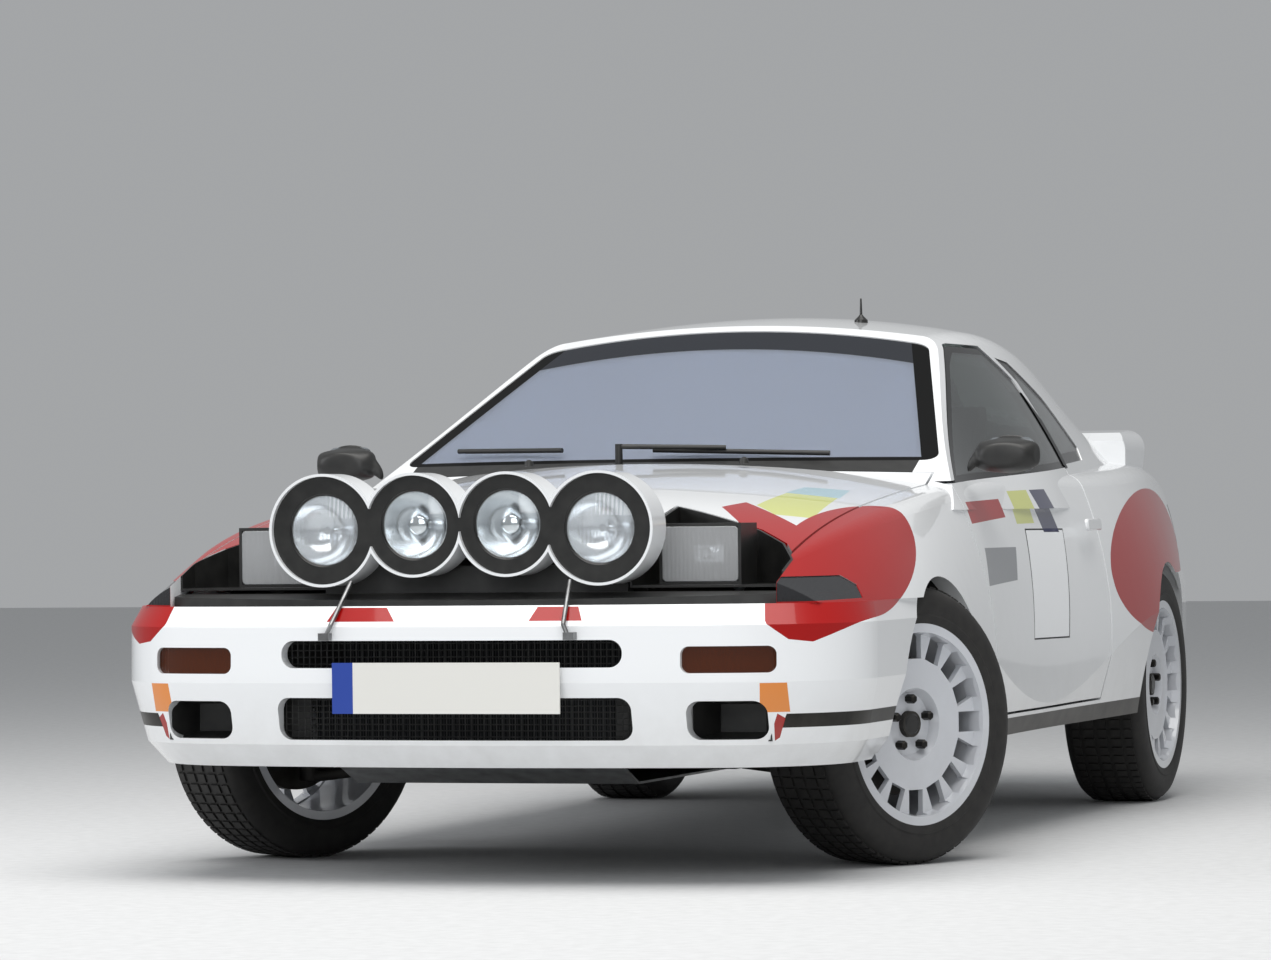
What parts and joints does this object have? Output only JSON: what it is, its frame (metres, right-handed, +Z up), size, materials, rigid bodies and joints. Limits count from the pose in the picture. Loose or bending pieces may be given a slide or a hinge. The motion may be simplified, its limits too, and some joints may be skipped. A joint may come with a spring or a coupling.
{
  "type": "rally car",
  "caption": "Four-wheel-drive rally coupe in white with red patches, a four-lamp pod on its nose, hinged doors, hood and liftback, and steered front wheels.",
  "frame": {"origin": "on the ground, in the middle of the car's length and width", "axes": "+Z up, the car faces -Y, its left side is +X"},
  "size_m": [1.9116, 4.41, 1.3054],
  "materials": {
    "white_paint": "gloss",
    "black_plastic": "matt",
    "glass": "clear",
    "lamp_glass": "clear",
    "smoked_lens": "gloss",
    "amber_lens": "gloss",
    "red_lens": "gloss",
    "plate_white": "satin",
    "dark_metal": "satin",
    "cast_metal": "rough",
    "bare_metal": "satin",
    "exhaust_steel": "satin",
    "seat_fabric": "matt",
    "rubber": "matt",
    "wheel_white": "satin",
    "tyre": "matt"
  },
  "bodies": {
    "body": {"floor_pan": "white_paint", "firewall": "white_paint", "cowl_panel": "black_plastic", "roof_panel": "white_paint", "body_side_left": "white_paint", "body_side_right": "white_paint", "front_fender_left": "white_paint", "front_fender_right": "white_paint", "front_bumper": "white_paint", "rear_bumper": "white_paint", "nose_panel": "black_plastic", "tail_panel": "black_plastic", "windscreen": "glass", "quarter_glass": "glass", "headlamp_bays": "black_plastic", "headlamps": "lamp_glass", "corner_lamps": "smoked_lens", "bumper_lamps": "amber_lens", "tail_lamps": "red_lens", "number_plate": "plate_white", "radiator": "dark_metal", "front_rails": "white_paint", "engine_block": "cast_metal", "sump_guard": "bare_metal", "exhaust": "exhaust_steel", "front_suspension": "dark_metal", "rear_suspension": "dark_metal", "wheel_arch_liners": "black_plastic", "seats": "seat_fabric", "dashboard": "black_plastic", "steering_wheel": "black_plastic", "roll_cage": "white_paint", "wipers": "black_plastic", "mud_flaps": "rubber", "pod_stays": "bare_metal"},
    "hood": {"hood": "white_paint", "lamp_pod": "white_paint", "pod_face": "black_plastic", "driving_lamps": "lamp_glass"},
    "hatch": {"hatch": "white_paint", "hatch_glass": "glass", "rear_wing": "white_paint"},
    "door_left": {"door_left": "white_paint", "door_glass_left": "glass", "mirror_left": "black_plastic"},
    "steer_left": {"front_knuckle_left": "cast_metal"},
    "door_right": {"door_right": "white_paint", "door_glass_right": "glass", "mirror_right": "black_plastic"},
    "steer_right": {"front_knuckle_right": "cast_metal"},
    "spin_front_left": {"wheel_front_left": "wheel_white", "tyre_front_left": "tyre"},
    "spin_front_right": {"wheel_front_right": "wheel_white", "tyre_front_right": "tyre"},
    "spin_rear_left": {"wheel_rear_left": "wheel_white", "tyre_rear_left": "tyre"},
    "spin_rear_right": {"wheel_rear_right": "wheel_white", "tyre_rear_right": "tyre"}
  },
  "joints": [
    {"name": "hood_hinge", "type": "hinge", "parent": "body", "child": "hood", "pos_m": [0, -0.689, 0.927], "axis": [-1, 0, 0], "range_deg": [0, 55]},
    {"name": "hatch_hinge", "type": "hinge", "parent": "body", "child": "hatch", "pos_m": [0, 0.866, 1.284], "axis": [1, 0, 0], "range_deg": [0, 70]},
    {"name": "door_hinge_left", "type": "hinge", "parent": "body", "child": "door_left", "pos_m": [0.852, -0.722, 0.58], "axis": [0, 0, -1], "range_deg": [0, 65]},
    {"name": "door_hinge_right", "type": "hinge", "parent": "body", "child": "door_right", "pos_m": [-0.852, -0.722, 0.58], "axis": [0, 0, 1], "range_deg": [0, 65]},
    {"name": "steering_left", "type": "hinge", "parent": "body", "child": "steer_left", "pos_m": [0.69, -1.262, 0.317], "axis": [0, 0, 1], "range_deg": [-7, 61]},
    {"name": "steering_right", "type": "hinge", "parent": "body", "child": "steer_right", "pos_m": [-0.69, -1.262, 0.317], "axis": [0, 0, 1], "range_deg": [-7, 61]},
    {"name": "wheel_spin_front_left", "type": "hinge", "parent": "steer_left", "child": "spin_front_left", "pos_m": [0.7301, -1.28243, 0.317], "axis": [0.891, -0.454, 0], "continuous": true},
    {"name": "wheel_spin_front_right", "type": "hinge", "parent": "steer_right", "child": "spin_front_right", "pos_m": [-0.7301, -1.24157, 0.317], "axis": [0.891, -0.454, 0], "continuous": true},
    {"name": "wheel_spin_rear_left", "type": "hinge", "parent": "body", "child": "spin_rear_left", "pos_m": [0.705, 1.263, 0.317], "axis": [1, 0, 0], "continuous": true},
    {"name": "wheel_spin_rear_right", "type": "hinge", "parent": "body", "child": "spin_rear_right", "pos_m": [-0.705, 1.263, 0.317], "axis": [1, 0, 0], "continuous": true}
  ],
  "couplings": [
    {"joint": "steering_right", "follows": "steering_left", "ratio": 1}
  ]
}
